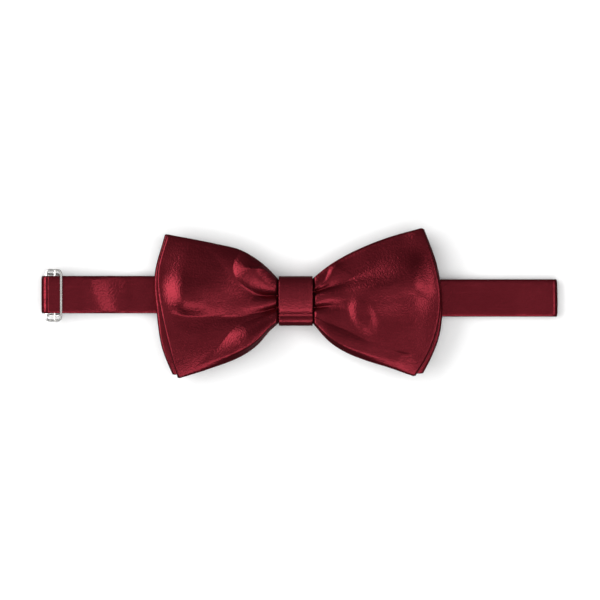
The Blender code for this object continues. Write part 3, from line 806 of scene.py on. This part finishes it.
def knot_grid(inside=0.0):
    """Rows round the knot from the slit at its back, columns across its width. The face rises as
    a low arch whose top is above the middle, with a crease across its lower part; each folded
    edge is a small roll with a dip inside it. All three are Gaussian. A lining is a grid that
    lies that far inside."""
    t = np.linspace(KNOT_SLIT, 1 - KNOT_SLIT, KNOT_ROWS)
    half = (KNOT_HIGH - KNOT_LOW) / 2 - inside
    middle = (KNOT_HIGH + KNOT_LOW) / 2
    y, z = rounded_box(t, half[1], half[2], KNOT_CORNER)
    on_face = smooth((z / half[2] - 0.2) / 0.7)
    c = np.linspace(-1, 1, KNOT_COLUMNS)
    x = middle[0] + c * (half[0] - KNOT_PLY / 2)
    arch = ARCH_HEIGHT * np.exp(-(((y - ARCH_Y) / ARCH_REACH) ** 2))
    arch -= DIP_DEPTH * np.exp(-(((y + DIP_Y) / DIP_REACH) ** 2))
    inward = (1 - np.abs(c)) / 0.09
    roll = ROLL_HEIGHT * np.exp(-((inward - 1.0) ** 2))
    roll -= ROLL_DIP * np.exp(-((inward - 2.6) ** 2))
    lift = on_face[:, None] * (arch[:, None] + roll[None, :])
    sheet = [np.broadcast_to(x, lift.shape), np.broadcast_to((middle[1] + y)[:, None], lift.shape)]
    return np.stack([*sheet, middle[2] + z[:, None] + lift], axis=2)


grid = knot_grid()
u, v = cloth_uv(grid, 2 * KNOT_SIDE)
mesh = hemmed("knot_cloth", grid, KNOT_PLY, (u, v))
knot = put("knot_cloth", mesh, KNOT_SATIN_PAINTED_LIGHTER, "bow", "knot_satin", "knot_wrap")
grid = knot_grid(KNOT_PLY + PLY_GAP)
KNOT_LINING_WIDTH = 2 * (KNOT_SIDE - KNOT_PLY - PLY_GAP)
u, v = cloth_uv(grid, KNOT_LINING_WIDTH)
mesh = hemmed("knot_lining", grid, LINING_PLY, (u, v))
knot_lining = put("knot_lining", mesh, INTERLINING, "bow", "interlining", "knot_interlining")
linings = [(knot_lining, KNOT_LINING_WIDTH, float(u[-1]), 1.0, knot)]

# %% [markdown]
# ## The neck band
# The band is a flat tube of satin about a millimetre thick. It is carried along the same route
# as the model's: out of the seam at the eye, along the back, round the fold, through the knot, up
# over the slide's two bars and round the hook's slot bar. Its edges are soft folds, and it has the
# slight waves of cloth that has been rolled up.

# %% The route of the band
BAND_THICKNESS = 1.0 * MM
BAND_WIDTH = 15.6 * MM
BAND_Y_LEFT, BAND_Y_MIDDLE, BAND_Y_RIGHT = 3.5 * MM, 1.2 * MM, 2.1 * MM
BACK_RUN_Z = BAND_THICKNESS / 2
FRONT_RUN_Z = 3.4 * MM
RAISED_RUN_Z = float(BAND_HIGH[2]) - BAND_THICKNESS / 2
TAIL_Z = 3.0 * MM
EYE_Z = float(EYE_LOW[2] + EYE_HIGH[2]) / 2
EYE_BAR_X = float(EYE_HIGH[0]) - 0.4 * MM
STRAIGHT = (-24.0 * MM, 28.0 * MM)
BESIDE_BOW = 62.0 * MM
BACK_START = -78 * MM
EYE_FLAT_END, EYE_STEP = -80.7 * MM, (-80.5 * MM, -70.5 * MM)
BACK_AFTER_STEP = -69.5 * MM
FRONT_END_X, FRONT_STEP = -71.5 * MM, (-72 * MM, -91 * MM)
RAISED_START = -91.5 * MM
TAIL_END = -104.6 * MM
FINE = 0.7 * MM
WAVE_HEIGHT = 0.36 * MM
SEWN_WIDTH, SEWN_LENGTH, SEWN_SPREAD = 0.74, 12 * MM, 5 * MM


def band_y(x):
    """The band's middle line: straight where the knot slides, and a little askew beside it."""
    left = smooth((STRAIGHT[0] - x) / (STRAIGHT[0] + BESIDE_BOW))
    right = smooth((x - STRAIGHT[1]) / (BESIDE_BOW - STRAIGHT[1]))
    return BAND_Y_MIDDLE + (BAND_Y_LEFT - BAND_Y_MIDDLE) * left + (BAND_Y_RIGHT - BAND_Y_MIDDLE) * right


def turn(x, z, radius, start, end, steps=14):
    """Points of an arc in the XZ plane, angles in degrees from +X towards +Z."""
    a = np.radians(np.linspace(start, end, steps + 1))
    return np.stack([x + radius * np.cos(a), z + radius * np.sin(a)], axis=1)


def run(x0, z0, x1, z1, step=1.5 * MM, even=0.0):
    """Points of a run whose height goes as even * t + (1 - even) * smooth(t)."""
    t = np.linspace(0, 1, max(3, int(abs(x1 - x0) / step)))
    return np.stack([x0 + (x1 - x0) * t, z0 + (z1 - z0) * (even * t + (1 - even) * smooth(t))], axis=1)


def band_route():
    half_turn = EYE_Z - BACK_RUN_Z
    right_turn = (FRONT_RUN_Z - BACK_RUN_Z) / 2
    right_x = float(BAND_HIGH[0]) - BAND_THICKNESS / 2 - right_turn
    left_turn = (RAISED_RUN_Z - TAIL_Z) / 2
    left_x = float(BAND_LOW[0]) + BAND_THICKNESS / 2 + left_turn
    upper = EYE_Z + half_turn
    return np.concatenate(
        [
            run(BACK_START, BACK_RUN_Z, EYE_BAR_X + 0.4 * MM, BACK_RUN_Z),
            turn(EYE_BAR_X, EYE_Z, half_turn, 270, 90),
            run(EYE_BAR_X + 0.5 * MM, upper, EYE_FLAT_END, upper),
            run(EYE_STEP[0], upper, EYE_STEP[1], BACK_RUN_Z, FINE),
            run(BACK_AFTER_STEP, BACK_RUN_Z, right_x - 0.4 * MM, BACK_RUN_Z),
            turn(right_x, BACK_RUN_Z + right_turn, right_turn, 270, 450),
            run(right_x - 0.4 * MM, FRONT_RUN_Z, FRONT_END_X, FRONT_RUN_Z),
            run(FRONT_STEP[0], FRONT_RUN_Z, FRONT_STEP[1], RAISED_RUN_Z, FINE, 0.3),
            run(RAISED_START, RAISED_RUN_Z, left_x - 0.1 * MM, RAISED_RUN_Z, FINE),
            turn(left_x, RAISED_RUN_Z - left_turn, left_turn, 90, 270),
            [(TAIL_END, TAIL_Z)],
        ]
    )


def flat_section(width, thickness, points=11):
    """Half widths and heights of a flat strip's ring: y from -w/2 to w/2 on top, then back below.
    Its height is t/2 * (1 - (2y/w)^12), so that the edges are soft folds."""
    y = np.sin(np.linspace(-math.pi / 2, math.pi / 2, points * 2 + 1)) * width / 2
    high = thickness / 2 * (1 - np.abs(2 * y / width) ** 12) ** 0.5
    ring_y = np.concatenate([y, y[-2:0:-1]])
    ring_z = np.concatenate([high, -high[-2:0:-1]])
    return ring_y, ring_z


def carried(name, route, ring, middle, widths=1.0, wave=None):
    """A section carried along a route in XZ: point = route + normal * height, y = middle + across."""
    ahead = unit(np.gradient(route, axis=0))
    normal = np.stack([-ahead[:, 1], ahead[:, 0]], axis=1)
    y, z = ring
    scale = np.broadcast_to(widths, len(route))[:, None]
    lift = z[None, :] + (0 if wave is None else wave(route, y))
    x = route[:, :1] + normal[:, :1] * lift
    height = route[:, 1:] + normal[:, 1:] * lift
    across = middle[:, None] + y[None, :] * scale
    points = np.stack([x, across, height], axis=2)
    u = np.concatenate([[0.0], np.cumsum(np.linalg.norm(np.diff(route, axis=0), axis=1))])
    round_it = np.concatenate([[0.0], np.cumsum(np.hypot(np.diff(y), np.diff(z))), [0.0]])
    round_it[-1] = round_it[-2] + np.hypot(y[0] - y[-1], z[0] - z[-1])
    uv = np.stack(np.meshgrid(u, round_it, indexing="ij"), axis=-1)
    mesh = grid_mesh(name, points, uv, closed_columns=True, caps=True)
    turn_outwards(mesh)
    return mesh, float(u[-1])


def band_wave(route, y):
    """Low waves beside the bow: h * sin(x/3.2mm + y/4mm) * cos(x/7mm), lower near the slide."""
    x = route[:, :1]
    near_slide = smooth((x + 98 * MM) / (3 * MM)) * (0.5 + 0.5 * smooth((x + 90 * MM) / (5 * MM)))
    beside_bow = smooth((-x - 64 * MM) / (8 * MM)) + 0.3 * smooth((x - 62 * MM) / (8 * MM))
    ripple = np.sin(x / (3.2 * MM) + y[None, :] / (4 * MM)) * np.cos(x / (7 * MM))
    return WAVE_HEIGHT * near_slide * beside_bow * ripple


route = band_route()
at = np.cumsum(np.linalg.norm(np.diff(route, axis=0, prepend=route[:1]), axis=1))
on_back = at < at[np.argmax(route[:, 0])]
PEEK, PEEK_X, PEEK_REACH = 1.2 * MM, -90 * MM, 6 * MM
peek = PEEK * on_back * np.exp(-(((route[:, 0] - PEEK_X) / PEEK_REACH) ** 2))
band_middle = band_y(route[:, 0]) + peek
widths = SEWN_WIDTH + (1 - SEWN_WIDTH) * smooth((at - SEWN_LENGTH) / SEWN_SPREAD)
section = flat_section(BAND_WIDTH, BAND_THICKNESS)
mesh, band_length = carried("neck_band_cloth", route, section, band_middle, widths, band_wave)
band = put("neck_band_cloth", mesh, BAND_SATIN, "band", "band_satin", "neck_band_satin")
print("band length in mm", round(band_length / MM))
BAND_LINING = (13.6 * MM, 0.24 * MM)
inner = slice(3, -3)
mesh, lining_length = carried(
    "neck_band_lining", route[inner], flat_section(*BAND_LINING), band_middle[inner], widths[inner]
)
band_lining = put(
    "neck_band_lining", mesh, INTERLINING, "band", "interlining", "neck_band_interlining"
)
linings.append((band_lining, BAND_LINING[0], lining_length, 1.0, band))

# %% [markdown]
# The tail loop is a short strap of the same satin. It starts behind the bar tack at the end of the
# band, goes round the slide's middle bar and comes back to the tack, so it moves with the slide.

# %% The tail loop
TAIL_LOW, TAIL_HIGH = (np.array(corner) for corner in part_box("tail_end_loop"))
TAIL_PLY = 0.6 * MM
BAR_X, BAR_Z = -102.1 * MM, 4.4 * MM
BEFORE_BAR = BAR_X - 0.2 * MM
TAIL_REACH = float(TAIL_HIGH[0]) - TAIL_PLY / 2 - BAR_X
tail_end_x = float(TAIL_LOW[0]) + TAIL_PLY / 2
tail_low_z = BAR_Z - TAIL_REACH
LEG_GAP = 0.9 * MM
tail_route = np.concatenate(
    [
        run(tail_end_x, tail_low_z, BEFORE_BAR, tail_low_z, 0.3 * MM),
        turn(BAR_X, BAR_Z, TAIL_REACH, 270, 450),
        run(BEFORE_BAR, BAR_Z + TAIL_REACH, tail_end_x, tail_low_z + LEG_GAP, 0.25 * MM),
    ]
)
TAIL_WIDTH = float(TAIL_HIGH[1] - TAIL_LOW[1])
tail_middle = np.full(len(tail_route), float(TAIL_HIGH[1] + TAIL_LOW[1]) / 2)
mesh, tail_length = carried(
    "tail_loop_cloth", tail_route, flat_section(TAIL_WIDTH, TAIL_PLY), tail_middle
)
tail_loop = put("tail_loop_cloth", mesh, BAND_SATIN, "adjuster", "band_satin", "tail_end_loop")

# %% Carried-over nodes keep their shapes and get real finishes
for node, finish in (
    ("waist_thread", THREAD),
    ("knot_back_stitches", THREAD),
    ("tail_bar_tack", THREAD),
    ("eye_bar_tack", THREAD),
    ("slide_adjuster", NICKEL),
    ("hook", NICKEL),
    ("eye", NICKEL),
):
    carried_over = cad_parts[node]
    carried_over.data.materials.clear()
    carried_over.data.materials.append(finish)

# %% [markdown]
# ## Floor and light
# A white floor and broad, soft lamps. Satin shows its folds only if the light comes from a few
# large areas with darker gaps between them, so the key is a wide lamp on the left, weaker ones
# stand in front and on the right, and the sky above is dim. The fill lamp is hidden from
# reflections: it whitens the floor and leaves the satin alone.

# %% Floor and lamps


def floor_finish():
    finish = Finish("floor")
    speck = finish.noise(finish.place(), 400.0, 2.0)
    tone = finish.mix(speck, (0.93, 0.93, 0.93), (0.96, 0.96, 0.96))
    return finish.close(Base_Color=tone, Roughness=speck * 0.1 + 0.8)


bpy.ops.mesh.primitive_plane_add(size=6.0, location=(0, 0, -0.0002))
floor = bpy.context.object
floor.name = "floor"
floor.data.materials.append(floor_finish())
floor.visible_glossy = False


def lamp(name, place, wide, high, power):
    """A soft rectangular lamp at that place, turned towards the tie."""
    data = bpy.data.lights.new(name, "AREA")
    data.shape = "RECTANGLE"
    data.size = wide
    data.size_y = high
    data.energy = power
    made = bpy.data.objects.new(name, data)
    made.location = place
    direction = np.array(place, float)
    made.rotation_euler = (
        math.atan2(math.hypot(direction[0], direction[1]), direction[2]),
        0.0,
        math.atan2(direction[1], direction[0]) + math.pi / 2,
    )
    bpy.context.scene.collection.objects.link(made)
    return made


lamp("left", (-1.20, 0.25, 1.10), 2.00, 0.85, 23.0)
lamp("near", (0.00, -1.00, 1.30), 0.90, 0.75, 6.0)
lamp("right", (0.92, -0.10, 1.32), 0.80, 0.66, 5.2)
lamp("far", (0.10, 1.70, 0.75), 0.90, 0.90, 0.3)
lamp("top", (0.0, 0.0, 1.6), 0.70, 0.70, 0.8)
fill = lamp("fill", (0.0, 0.0, 2.0), 2.40, 2.40, 20.0)
fill.visible_glossy = False
fill.visible_camera = False

world = bpy.data.worlds.new("studio")
bpy.context.scene.world = world
world.use_nodes = True
background = world.node_tree.nodes["Background"]
background.inputs["Color"].default_value = (1.0, 1.0, 1.0, 1.0)
background.inputs["Strength"].default_value = 0.14
bpy.context.scene.view_settings.view_transform = "Standard"

# %% [markdown]
# ## Cloth facts
# The cut area of each bow and of each lining is worked out: its height times its length times a
# share. Nothing else uses these areas. The bows and their linings are taken as cut narrower at the
# waist, with 0.86 of their rectangle's area. That share is an assumption: the modelled cloth is
# squeezed at the waist and not pleated, so it has less area than a plain strip. The tail loop's
# ends are turned in by a millimetre each, which is not modelled.

CUT_SHARE = 0.86
for name, below in (("front_bow", "rear_bow_cloth"), ("rear_bow", "neck_band_cloth")):
    length = bows[name + "_length"]
    cut = STRIP_HEIGHT * length * CUT_SHARE
for name in ("front_bow", "rear_bow"):
    length = bows[name + "_lining_length"]
    linings.append((bows[name + "_lining"], LINING_HEIGHT, length, CUT_SHARE, bows[name]))
for lining, height, length, share, around in linings:
    cut = height * length * share
